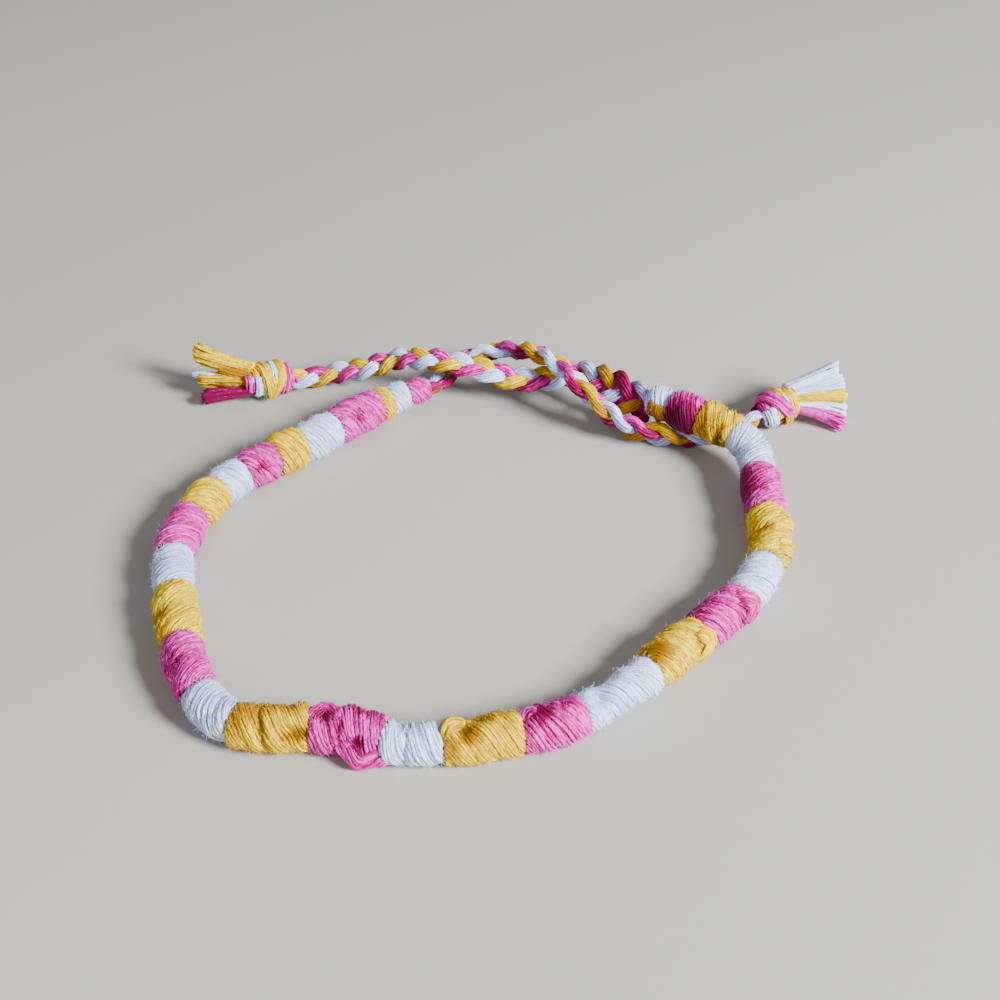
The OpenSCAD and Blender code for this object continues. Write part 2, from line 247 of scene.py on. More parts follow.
# The two soft lights, which look at the origin: place and size in metres, and colour. The colour of the
# light from all round, and half the floor's size in metres
KEY_LIGHT = ((0.42, -0.28, 0.32), 0.19, (0.89, 0.95, 1.0))
FILL_LIGHT = ((-0.25, -0.45, 0.50), 0.50, (0.93, 0.96, 1.0))
SKY_COLOUR = (0.90, 0.95, 1.0, 1)
FLOOR_HALF = 1.5


def number_property(name, description, default, **more):
    return FloatProperty(name=name, description=description, default=default, **more)


def colour_property(name, description, default):
    return FloatVectorProperty(
        name=name, description=description, default=default, subtype="COLOR", size=3, min=0, max=1
    )


class WrapSizes(bpy.types.PropertyGroup):
    spacing: number_property("Spacing", "Distance from one wrapped thread to the next (mm)", 0.25, min=0.1)
    thread: number_property("Thread", "Thickness of one wrapped thread (mm)", 0.32, min=0.1)
    pinch: number_property(
        "Pinch", "Thickness where two sections meet, as a share of the middle", 0.88, subtype="FACTOR",
        min=0.5, max=1.0,
    )
    wander: number_property("Wander", "How far a thread strays from its even lay (mm)", 0.06, min=0.0)
    lumps: number_property("Lumps", "Height of the low lumps in the wraps (mm)", 0.09, min=0.0)
    fuzz: number_property("Fuzz", "Stray fibres for each square millimetre of the band", 11.0, min=0.0)
    fuzz_length: number_property("Fibre length", "Length of a stray fibre (mm)", 0.46, min=0.1)


class BraidSizes(bpy.types.PropertyGroup):
    width: number_property("Braid", "Diameter of a braided tie as a cord (mm)", 2.4, min=0.5)
    strand: number_property("Strand", "Thickness of one of its three strands (mm)", 1.45, min=0.2)
    knot_width: number_property("Knot width", "Thickness of an end knot (mm)", 4.5, min=1.0)
    loose_thread: number_property(
        "Loose thread", "Thickness of a loose thread in a tassel (mm)", 0.38, min=0.1
    )


# Each floss has a middle, a light and a deep colour. The light colour is painted highlight: glints mixed into
# the base colour among its random changes, and it also tints the real shine. The deep colour (shown as Deep
# pink, Deep white and Amber) is the floss painted as in shade. It goes between threads, in the knots' dents,
# on cores and on sides turned from the light, and it is also used for darker stretches at random.
class ThreadColours(bpy.types.PropertyGroup):
    pink: colour_property("Pink", "The pink floss", (0.50, 0.012, 0.23))
    pink_shine: colour_property("Light pink", "The pink floss where it shines", (0.93, 0.075, 0.55))
    pink_shaded: colour_property("Deep pink", "The pink floss between its threads", (0.20, 0.003, 0.045))
    white: colour_property("White", "The white floss", (0.51, 0.58, 1.00))
    white_shine: colour_property("Light white", "The white floss where it shines", (0.74, 0.82, 1.00))
    white_shaded: colour_property("Deep white", "The white floss between its threads", (0.39, 0.41, 0.68))
    yellow: colour_property("Yellow", "The yellow floss", (0.66, 0.385, 0.002))
    yellow_shine: colour_property("Light yellow", "The yellow floss where it shines", (1.0, 0.67, 0.012))
    yellow_shaded: colour_property("Amber", "The yellow floss between its threads", (0.36, 0.150, 0.003))


class StageSettings(bpy.types.PropertyGroup):
    floor: colour_property("Floor", "The pale floor", (0.398, 0.368, 0.329))
    key: number_property("Key light", "Power of the soft light from the right", 14.4, unit="POWER")
    fill: number_property("Fill light", "Power of the soft light in front", 1.2, unit="POWER")
    sky: number_property("Room light", "Strength of the light from all round", 0.32)


# Shapes


def unit(vectors):
    """Each vector over its own length."""
    return vectors / np.maximum(np.linalg.norm(vectors, axis=-1, keepdims=True), 1e-9)


def lifted(points, lowest):
    """The points, none lower than the lowest height, so that what they carry rests on the surface."""
    points = points.copy()
    points[..., 2] = np.maximum(points[..., 2], lowest)
    return points


def add_object(name, data):
    """An object of the data, in the scene."""
    made = bpy.data.objects.new(name, data)
    bpy.context.scene.collection.objects.link(made)
    return made


def wave(position, seed, waves=5, slowest=0.5, fastest=4.0):
    """Smooth noise for rows of positions, of spread one: a sum of sines, with frequencies from slowest to
    fastest, random phases for each row, and each sine as strong as the root of one over its frequency."""
    dice = np.random.default_rng(seed)
    rates = np.geomspace(slowest, fastest, waves) * dice.uniform(0.85, 1.15, waves)
    phases = dice.uniform(0, 2 * np.pi, (position.shape[0], 1, waves))
    strengths = np.sqrt(slowest / rates)
    sines = np.sin(position[..., None] * rates + phases) * strengths
    return sines.sum(-1) / np.sqrt((strengths**2).sum() / 2)


class Line:
    """The smooth curve through a route's points, read by the distance along it in millimetres."""

    def __init__(self, route, steps=12):
        """Between two points the curve is the cubic whose slope at each point is half the step from the
        point before it to the point after it."""
        route = np.asarray(route, float)
        ends = np.vstack([route[:1], route, route[-1:]])
        p, q, r, s = (ends[k : len(ends) - 3 + k, None] for k in range(4))
        t = (np.arange(steps) / steps)[None, :, None]
        once, twice, thrice = r - p, 2 * p - 5 * q + 4 * r - s, 3 * q - 3 * r + s - p
        curve = q + once * t / 2 + twice * t**2 / 2 + thrice * t**3 / 2
        self.points = np.vstack([curve.reshape(-1, 3), route[-1:]])
        gaps = np.linalg.norm(np.diff(self.points, axis=0), axis=1)
        self.runs = np.concatenate([[0.0], np.cumsum(gaps)])
        self.length = self.runs[-1]

    def place(self, run):
        """The point at a distance along the line, straight between the curve's close points."""
        return np.stack([np.interp(run, self.runs, self.points[:, axis]) for axis in range(3)], -1)

    def frame(self, run, reach=0.4):
        """The point at a distance, the direction there, the level direction to its right, and the one that
        is square to both and looks up."""
        low, high = np.maximum(run - reach, 0), np.minimum(run + reach, self.length)
        along = unit(self.place(high) - self.place(low))
        side = unit(np.cross(along, UP))
        return self.place(run), along, side, np.cross(side, along)

    def end(self):
        """The same four at the line's end."""
        return [part[0] for part in self.frame(np.array([self.length]))]


class Skein:
    """Gathers tubes of thread and makes one mesh of them."""

    def __init__(self):
        self.points, self.strands, self.shades = [], [], []
        self.faces, self.colours, self.uvs, self.cells = [], [], [], []
        self.count = 0

    def add_tubes(
        self, paths, outward, radius, colour, shade, sides, flat=THREAD_FLAT, strand=None, ply=0.0, twist=2.4
    ):
        """One tube along each row of points. A ring's point is the row's point, plus the radius times the
        cosine of an angle across the tube, plus the radius times flat times its sine outward. Where ply
        isn't nothing, the radius swells by ply times the cosine of twice an angle that turns once in each
        twist of length, as two plies twisted together do, and the groove between them is shaded. Nothing
        goes under the surface: a height below nothing becomes nothing."""
        rows, rings = paths.shape[:2]
        along = unit(np.gradient(paths, axis=1))
        outward = unit(outward - (outward * along).sum(-1, keepdims=True) * along)
        across = np.cross(along, outward)
        angle, around = np.arange(sides) * 2 * np.pi / sides, np.arange(sides) / sides
        run = np.zeros((rows, rings, 1))
        run[:, 1:, 0] = np.linalg.norm(np.diff(paths, axis=1), axis=-1).cumsum(1)
        dice = np.random.default_rng(self.count + rows)
        lobe = np.cos(2 * (angle - 2 * np.pi * run / twist - dice.uniform(0, np.pi, (rows, 1, 1))))
        radius = np.asarray(radius, float)
        radius = radius if radius.ndim == 3 else np.broadcast_to(radius, (rows, rings))[..., None]
        radius = np.broadcast_to(radius * (1 + ply * lobe), (rows, rings, sides))[..., None]
        ring = np.cos(angle)[:, None] * across[:, :, None]
        ring = ring + flat * np.sin(angle)[:, None] * outward[:, :, None]
        points = lifted(paths[:, :, None] + radius * ring, 0.0)
        index = self.count + np.arange(rows * rings * sides).reshape(rows, rings, sides)
        turned = np.roll(index, -1, axis=2)
        u = np.broadcast_to(run, (rows, rings, sides))
        v = np.broadcast_to(around, (rows, rings, sides))
        upper = v + 1 / sides
        corner_u = np.stack([u[:, :-1], u[:, 1:], u[:, 1:], u[:, :-1]], -1)
        corner_v = np.stack([v[:, :-1], v[:, 1:], upper[:, 1:], upper[:, :-1]], -1)
        self.points.append(points.reshape(-1, 3))
        corners = (index[:, :-1], index[:, 1:], turned[:, 1:], turned[:, :-1])
        self.faces.append(np.stack(corners, -1).reshape(-1, 4))
        self.uvs.append(np.stack([corner_u, corner_v], -1).reshape(-1, 2))
        self.cells.append((rows * (rings - 1), sides, sides))
        for cap, height in ((index[:, 0], run[:, 0]), (index[:, -1, ::-1], run[:, -1])):
            self.faces.append(cap)
            self.uvs.append(np.stack([np.repeat(height, sides), np.tile(around, rows)], -1))
            self.cells.append((rows, 1, sides))
        colours = np.broadcast_to(np.asarray(colour), (rows,))
        self.colours += [np.repeat(colours, (rings - 1) * sides), colours, colours]
        strand = dice.uniform(0, 1, rows) if strand is None else np.broadcast_to(strand, (rows,))
        self.strands.append(np.repeat(strand, rings * sides))
        groove = (ply > 0) * GROOVE_SHADE * (0.5 - 0.5 * lobe)
        shade = np.broadcast_to(np.asarray(shade, float), (rows, rings))[..., None] + groove
        self.shades.append(np.broadcast_to(shade, (rows, rings, sides)).reshape(-1))
        self.count += rows * rings * sides

    def picture_map(self):
        """A map in which no two faces share a place. Each step of a tube is a column of cells, one to a
        side, and the columns follow one another in lines across a square. A body with many sides has its
        cells in single lines, and an end face is a small ring in a cell of its own."""
        most_sides, gap, ring_size = 16, 0.35, 0.4
        steps, high = [], []
        for count, tall, _ in self.cells:
            wide = tall > most_sides
            steps.append(count * tall if wide else count)
            high.append(1.0 if wide else float(tall))
        steps, high = np.array(steps), np.array(high) + gap
        columns = np.arange(8, 6000)
        heights = (np.ceil(steps[:, None] / columns) * high[:, None]).sum(0)
        across = int(columns[np.argmax(heights <= 2 * columns)])
        base, maps = 0.0, []
        for (count, tall, sides), step, tallness in zip(self.cells, steps, high):
            place, side = np.arange(step)[:, None], 0.0
            if tall == 1:
                angle = np.arange(sides) * 2 * np.pi / sides
                right, up = 0.5 + ring_size * np.cos(angle)[None], 0.5 + ring_size * np.sin(angle)[None]
            elif tall > most_sides:
                right, up = np.array([[0.0, 0, 1, 1]]), np.array([[0.0, 1, 1, 0]])
            else:
                place, side = np.arange(count).repeat(tall)[:, None], np.tile(np.arange(tall), count)[:, None]
                right, up = np.array([[0.0, 1, 1, 0]]), np.array([[0.0, 0, 1, 1]])
            u = (place % across + right) / across
            v = (base + place // across * tallness + side + up) / (2 * across)
            maps.append(np.stack(np.broadcast_arrays(u, v), -1).reshape(-1, 2))
            base += np.ceil(step / across) * tallness
        return np.concatenate(maps)

    def make(self, name, nodes):
        """The mesh, its object at the origin riding on the bracelet, in place of the CAD nodes."""
        mesh = bpy.data.meshes.new(name)
        points = np.concatenate(self.points) * MM
        mesh.vertices.add(len(points))
        mesh.vertices.foreach_set("co", points.astype(np.float32).ravel())
        totals = np.concatenate([np.full(len(f), f.shape[1]) for f in self.faces])
        corners = np.concatenate([f.ravel() for f in self.faces])
        mesh.loops.add(len(corners))
        mesh.loops.foreach_set("vertex_index", corners.astype(np.int32))
        mesh.polygons.add(len(totals))
        starts = np.concatenate([[0], np.cumsum(totals)[:-1]])
        mesh.polygons.foreach_set("loop_start", starts.astype(np.int32))
        mesh.polygons.foreach_set("use_smooth", np.ones(len(totals), bool))
        mesh.polygons.foreach_set("material_index", np.concatenate(self.colours).astype(np.int32))
        for title, places in (("thread", np.concatenate(self.uvs)), ("OFBake", self.picture_map())):
            layer = mesh.uv_layers.new(name=title)
            layer.data.foreach_set("uv", places.astype(np.float32).ravel())
        for title, parts in (("strand", self.strands), ("shade", self.shades)):
            mesh.attributes.new(title, "FLOAT", "POINT").data.foreach_set(
                "value", np.concatenate(parts).astype(np.float32)
            )
        mesh.update(calc_edges=True)
        if mesh.validate():
            raise RuntimeError(f"{name} has faces that don't hold together")
        for finish in thread_finishes():
            mesh.materials.append(finish)
        piece = add_object(name, mesh)
        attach(piece, "root")
        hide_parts(*nodes)
        return piece


# Finishes


class Value:
    """A number's socket. Python's own signs on it add the shader's maths nodes."""

    def __init__(self, finish, socket):
        self.finish, self.socket = finish, socket

    def maths(self, operation, first, second):
        node = self.finish.node("ShaderNodeMath", {"operation": operation}, first, second)
        return Value(self.finish, node.outputs[0])

    def __add__(self, other):
        return self.maths("ADD", self, other)

    def __radd__(self, other):
        return self.maths("ADD", other, self)

    def __sub__(self, other):
        return self.maths("SUBTRACT", self, other)

    def __rsub__(self, other):
        return self.maths("SUBTRACT", other, self)

    def __mul__(self, other):
        return self.maths("MULTIPLY", self, other)

    def sine(self):
        return self.maths("SINE", self, 0.0)

    def clamped(self):
        return self.maths("MINIMUM", self.maths("MAXIMUM", self, 0.0), 1.0)


class Finish:
    """A node material under construction."""

    def __init__(self, name):
        self.material = bpy.data.materials.new(name)
        self.material.use_nodes = True
        self.tree = self.material.node_tree
        self.tree.nodes.clear()

    def put(self, socket, value):
        """Gives a socket its value, or links it to the socket that the value comes from."""
        if isinstance(value, Value):
            value = value.socket
        if isinstance(value, bpy.types.NodeSocket):
            self.tree.links.new(value, socket)
        else:
            socket.default_value = value

    def node(self, kind, settings=None, *values, **named):
        """A node of a kind: its settings first, then its sockets' values or links, in order or by name."""
        node = self.tree.nodes.new(kind)
        for key, setting in (settings or {}).items():
            setattr(node, key, setting)
        named = {key.replace("_", " "): value for key, value in named.items()}
        for key, value in (*enumerate(values), *named.items()):
            self.put(node.inputs[key], value)
        return node

    def place(self, x, y, z):
        return self.node("ShaderNodeCombineXYZ", None, x, y, z).outputs[0]

    def noise(self, place, scale, detail, roughness=0.5):
        """Smooth noise from 0 to 1."""
        node = self.node("ShaderNodeTexNoise", None, place, Scale=scale, Detail=detail, Roughness=roughness)
        return Value(self, node.outputs[0])

    def attribute(self, name):
        return Value(self, self.node("ShaderNodeAttribute", {"attribute_name": name}).outputs["Fac"])

    def mix(self, share, first, second):
        """A colour part of the way from the first to the second."""
        node = self.node("ShaderNodeMix", {"data_type": "RGBA"})
        for key, value in ((0, share), (6, first), (7, second)):
            self.put(node.inputs[key], value)
        return node.outputs[2]

    def bump(self, height, strength, distance):
        node = self.node("ShaderNodeBump", None, Strength=strength, Distance=distance, Height=height)
        return node.outputs[0]

    def shine(self, **named):
        """Ends the material in a surface of these values."""
        shader = self.node("ShaderNodeBsdfPrincipled", None, **named)
        self.node("ShaderNodeOutputMaterial", None, shader.outputs[0])
        return self.material


def thread_finish(name, middle, light, deep, sheen, side_shade):
    """Cotton floss: a colour that changes at random from thread to thread and along each, with painted glints
    of the light colour among those changes. Painted shade goes towards the deep colour down a thread's sides,
    by the given share, and wherever the shade attribute paints it, darkest where that shade is over one. Fine
    fibres are in the bump, and a soft silky shine lies over it."""
    finish = Finish(name)
    uv = finish.node("ShaderNodeUVMap", {"uv_map": "thread"})
    parts = finish.node("ShaderNodeSeparateXYZ", None, uv.outputs[0])
    run, round_ = Value(finish, parts.outputs[0]), Value(finish, parts.outputs[1])
    strand, shade = finish.attribute("strand"), finish.attribute("shade")
    circle = round_ * (2 * np.pi)
    # Slow changes along a thread, and its fibres, which wind round it as they run
    slow = finish.noise(finish.place(run * 1.2, strand * 91.0, circle.sine() * 0.35), 1.0, 2.0, 0.6)
    lay = circle + run * 2.2
    fibre_place = finish.place(run * 1.3, lay.sine() * 0.9 + strand * 57.0, (lay + np.pi / 2).sine() * 0.9)
    fibre = finish.noise(fibre_place, 1.7, 3.0, 0.65)
    # The tone goes from the middle colour to the light one, at random and as painted glints, and falls where
    # shade is painted. The depth goes from there to the deep one, as painted shade and in darker stretches
    # where the tone is low
    tone = 0.40 - shade * 0.35 + (slow - 0.5) * 2.6 + (strand - 0.5) * 0.8 + (fibre - 0.5) * 3.0
    tone = tone.clamped()
    # Painted shade: the shade attribute, and each thread's sides away from its crest, by the given share
    depth = shade * (1.25 - fibre * 0.5) + (0.30 - tone) * 0.9 + (0.92 - circle.sine()) * side_shade
    bright = finish.mix(tone, (*middle, 1), (*light, 1))
    # Where the painted shade is over one, the deep colour darkens further
    darkest = finish.mix((shade - 1.0).clamped(), (*deep, 1), (*(0.35 * part for part in deep), 1))
    return finish.shine(
        Base_Color=finish.mix(depth.clamped(), bright, darkest), Roughness=0.32 + fibre * 0.24,
        Normal=finish.bump(fibre, 0.6, 0.00007), Specular_IOR_Level=0.45, Specular_Tint=(*light, 1),
        Sheen_Weight=sheen, Sheen_Roughness=0.4, Sheen_Tint=(*light, 1),
        Subsurface_Weight=0.35, Subsurface_Radius=(1.0, 0.7, 0.8), Subsurface_Scale=0.0004,
    )


def thread_finishes():
    """The pink, white and yellow floss, made once."""
    made = [bpy.data.materials.get(f"{name}_floss") for name in COLOUR_NAMES]
    if all(made):
        return made
    c = bpy.context.scene.bracelet_colours
    return [
        thread_finish("pink_floss", c.pink, c.pink_shine, c.pink_shaded, 0.05, 0.44),
        thread_finish("white_floss", c.white, c.white_shine, c.white_shaded, 0.08, 0.13),
        thread_finish("yellow_floss", c.yellow, c.yellow_shine, c.yellow_shaded, 0.05, 0.36),
    ]


# Pieces


def add_light(name, place, size, colour, power):
    """A round soft light that looks at the origin."""
    lamp = bpy.data.lights.new(name, "AREA")
    lamp.shape, lamp.size, lamp.energy, lamp.color = "DISK", size, power, colour
    light = add_object(name, lamp)
    look = unit(-np.asarray(place, float))
    pitch, turn = np.arccos(-look[2]), np.arctan2(look[1], look[0]) - np.pi / 2
    light.location, light.rotation_euler = place, (pitch, 0, turn)


class BRACELET_OT_stage(bpy.types.Operator):
    """Set the camera, a plain pale floor and soft studio light"""

    bl_idname = "bracelet.stage"
    bl_label = "Stage"

    def execute(self, context):
        stage = context.scene.bracelet_stage
        lens = bpy.data.cameras.new("camera")
        lens.lens, lens.sensor_width, lens.clip_start, lens.clip_end = CAMERA_LENS, CAMERA_FILM, 0.005, 20.0
        camera = add_object("camera", lens)
        camera.location = np.array(CAMERA_PLACE) * MM
        camera.rotation_euler = (np.radians(CAMERA_TILT), 0, 0)
        context.scene.camera = camera

        mesh = bpy.data.meshes.new("floor")
        signs = ((-1, -1), (1, -1), (1, 1), (-1, 1))
        mesh.from_pydata([(x * FLOOR_HALF, y * FLOOR_HALF, 0) for x, y in signs], [], [(0, 1, 2, 3)])
        finish = Finish("pale_floor")
        grain = finish.noise(finish.node("ShaderNodeTexCoord").outputs["Object"], 900.0, 4.0)
        mesh.materials.append(finish.shine(
            Base_Color=(*stage.floor, 1), Roughness=0.8, Normal=finish.bump(grain, 0.15, 0.0001),
            Specular_IOR_Level=0.3,
        ))
        floor = add_object("floor", mesh)

        add_light("key_light", *KEY_LIGHT, stage.key)
        add_light("fill_light", *FILL_LIGHT, stage.fill)
        world = bpy.data.worlds.new("room")
        world.use_nodes = True
        sky = world.node_tree.nodes["Background"].inputs
        sky[0].default_value, sky[1].default_value = SKY_COLOUR, stage.sky
        context.scene.world = world
        return {"FINISHED"}


def knot_radius(share, sizes):
    """Half the braid's width at the knot's ends, bulging to half the knot's width by the sine of the share
    to the power 0.7."""
    neck = sizes.width / 2
    return neck + (sizes.knot_width / 2 - neck) * np.sin(np.pi * np.clip(share, 0, 1)) ** 0.7


def make_knot(name, line, reach, sizes):
    """Threads laid round a rounded body. Each bundle's angle and place along the knot go evenly from its
    start to its end, its threads lie side by side along the knot and dome up in the middle, and both ends
    sink under the rest."""
    skein = Skein()
    root, along, side, top = line.end()
    share = np.linspace(-0.02, 1.02, 26)[None]
    centre = root + share[..., None] * reach * along
    body = knot_radius(share, sizes) - 0.5
    # The body under the threads is pink painted as in shade, so that the gaps between the threads show as
    # shade
    skein.add_tubes(centre, np.broadcast_to(top, centre.shape), body, PINK, shade=1.0, sides=24, flat=1.0)
    t = np.linspace(0, 1, 34)
    for row, (colour, angle0, share0, angle1, share1, width, lift) in enumerate(KNOT_BUNDLES[name]):
        threads = max(3, int(round(width / KNOT_SPACING)))
        lane = np.linspace(-0.5, 0.5, threads)[:, None]
        angle = np.radians(angle0 + (angle1 - angle0) * t)[None] + 0 * lane
        place = share0 + (share1 - share0) * t[None] + lane * width * 0.85 / reach
        place = place + wave(angle * 1.5, 400 + row) * 0.010
        sink = np.clip(np.minimum(t, 1 - t) / 0.10, 0, 1)[None]
        dome = KNOT_DOME * (1 - (2 * lane) ** 2)
        radius = knot_radius(place, sizes) - KNOT_INSET + lift + dome - KNOT_DIVE * (1 - sink) ** 2
        radius = radius + 0.03 * wave(angle * 1.2, 450 + row)
        ray = np.cos(angle)[..., None] * side + np.sin(angle)[..., None] * top
        paths = lifted(root + (place * reach)[..., None] * along + radius[..., None] * ray, 0.15)
        # Painted shade where the threads sink under the rest and towards a bundle's edges
        shade = 0.5 * (1 - sink) + 0.5 * np.abs(lane) ** 2
        skein.add_tubes(paths, ray, KNOT_THREAD, colour, shade, sides=7, ply=LOOSE_PLY)
    return skein.make(f"{name}_threads", [name])


def make_tassel(name, line, knot_reach, seed, sizes):
    """Each bundle is a soft body with threads over it and through it. A thread's place in the bundle is a
    random one in an ellipse, small at the knot and large at the cut end, and it goes from one to the other
    along a gentle curve with a little wave of its own. The ellipse's height runs along a direction that
    leans back, its depth along one square to that."""
    skein = Skein()
    knot, along, side, top = line.end()
    root = knot + (knot_reach - 0.7) * along
    axis_tip = np.array(TASSEL_TIPS[name])
    dice = np.random.default_rng(seed)
    t = np.linspace(0, 1, 15)[None, :, None]
    half = sizes.loose_thread / 2
    thin = np.array([1.0] * 10 + [0.9, 0.7, 0.3]) * 0.92
    for row, bundle in enumerate(TASSEL_BUNDLES[name]):
        colour, count, tip, high, deep, knot_high, knot_deep, away, dark = bundle
        lean = np.array(tip) - axis_tip
        lean = lean - (lean @ along) * along
        start, end = root + away * lean, np.array(tip)
        bend = start + 0.42 * np.linalg.norm(end - start) * unit(unit(end - start) + 0.35 * along)
        middle = start * (1 - t) ** 2 + bend * 2 * t * (1 - t) + end * t**2
        turn, reach = dice.uniform(0, 2 * np.pi, (count, 1, 1)), dice.uniform(0, 1, (count, 1, 1)) ** 0.35
        tall, wide = knot_high + (high - knot_high) * t, knot_deep + (deep - knot_deep) * t
        paths = middle + reach * (np.cos(turn) * tall * TASSEL_HIGH + np.sin(turn) * wide * TASSEL_DEEP)
        paths = paths - dice.uniform(0, 0.5, (count, 1, 1)) * t**4 * along
        rows = np.broadcast_to(t[..., 0] * 6.0, paths.shape[:2])
        stray = wave(rows, 500 + row)[..., None] * side + wave(rows, 600 + row)[..., None] * top
        paths = lifted(paths + 0.07 * t * stray, half * 0.8)
        outward = np.broadcast_to(top, paths.shape)
        # Painted shade at the neck by the knot and deeper inside the bundle, over the bundle's own painted
        # shade or light
        shade = dark + 0.6 * (1 - t[..., 0]) ** 4 + 0.10 * (1 - reach[..., 0])
        skein.add_tubes(paths, outward, half, colour, shade, sides=6, ply=LOOSE_PLY, twist=1.8)
        # The soft body stops short of the cut end, and thins out there. It is painted a little further into
        # shade, so that it shows as shade between the threads
        rings = len(thin)
        body, radius = lifted(middle[:, :rings], tall[:, :rings, 0] * 0.8), wide[:, :rings, 0] * thin
        outward = np.broadcast_to(TASSEL_HIGH, body.shape)
        skein.add_tubes(body, outward, radius, colour, shade=0.2 + dark, sides=16, flat=high / deep)
    return skein.make(f"{name}_threads", [name])


def make_braid(name, line, sizes):
    """Three strands in a flat braid. A third of a period apart, each strand goes from side to side by a sine
    of its run, and up and down by a sine of twice that, so that it passes over one neighbour and under the
    other. A strand is ten threads in a flattened ring that turns slowly along it, round a core of its own,
    and a thin pink body closes the holes between the strands. Core and body are painted as in shade, so that
    the holes and the strands' insides show as shade, and the threads get painted shade where they pass under
    and on their undersides."""
    skein = Skein()
    period, rows = BRAIDS[name]
    run = np.arange(-0.3, line.length + 0.35, 0.31)
    shares, *columns = np.array(rows).T
    width, stand, late, shade, hang = (np.interp(run / line.length, shares, column) for column in columns)
    middle, _, side, top = line.frame(np.clip(run, 0, line.length))
    turn = np.radians(stand)[:, None]
    level = np.cos(turn) * side + np.sin(turn) * top
    rise = np.cos(turn) * top - np.sin(turn) * side
    ease = np.clip(np.minimum(run, line.length - run) / BRAID_EASE, 0, 1)
    swing = (width - sizes.strand) / 2
    inner = lifted(middle - hang[:, None] * level, 0.3)
    # The inner body is pink painted as in shade, standing for the inner threads and the shade between the
    # strands
    skein.add_tubes(inner[None], rise[None], 0.95 * swing[None], PINK, shade=1.2, sides=10, flat=0.35)
    for strand in range(3):
        phase = 2 * np.pi * (run / period + strand / 3 + late)
        lift = BRAID_RISE * (0.6 + 0.4 * ease) * np.sin(2 * phase)
        path = middle + (swing * np.sin(phase) - hang)[:, None] * level + lift[:, None] * rise
        ahead = unit(np.gradient(path, axis=0))
        normal = unit(rise - (rise * ahead).sum(1, keepdims=True) * ahead)
        cross = np.cross(ahead, normal)
        ring = (np.arange(STRAND_THREADS) / STRAND_THREADS * 2 * np.pi)[:, None] + run[None] * 0.45
        reach = (sizes.strand / 2 - 0.16) * (0.8 + 0.2 * ease)
        jitter = 1 + 0.10 * wave(np.broadcast_to(run, ring.shape), 700 + strand)
        ray = np.cos(ring)[..., None] * cross + 0.80 * np.sin(ring)[..., None] * normal
        paths = lifted(path + (reach * jitter)[..., None] * ray, 0.12)
        # Painted shade where a strand passes under the others, and on the undersides of its threads
        dark = shade + 0.95 * np.clip(-lift / BRAID_RISE, 0, 1) ** 1.3 + 0.35 * np.clip(-ray[..., 2], 0, 1)
        skein.add_tubes(paths, ray, BRAID_THREAD, strand, dark, sides=7, ply=TIGHT_PLY)
        # Each strand's core is painted as in shade, to show as shade between its threads
        core, half = lifted(path, 0.3)[None], reach[None] * 0.9
        skein.add_tubes(core, normal[None], half, strand, shade=0.8, sides=8, flat=0.78)
    return skein.make(f"{name}_braid", [name])


class BRACELET_OT_ties(bpy.types.Operator):
    """Make the two braided ties, with the knot and the tassel at the end of each"""

    bl_idname = "bracelet.ties"
    bl_label = "Ties, knots and tassels"

    def execute(self, context):
        sizes = context.scene.bracelet_braid
        for end, route, seed in (("left", LEFT_TIE_ROUTE, 77), ("right", RIGHT_TIE_ROUTE, 78)):
            line = Line(route)
            knot = make_knot(f"knot_{end}", line, KNOT_REACH[end], sizes)
            tassel = make_tassel(f"tassel_{end}", line, KNOT_REACH[end], seed, sizes)
            tie = make_braid(f"tie_{end}", line, sizes)
            (line.points * MM).tolist()
        return {"FINISHED"}


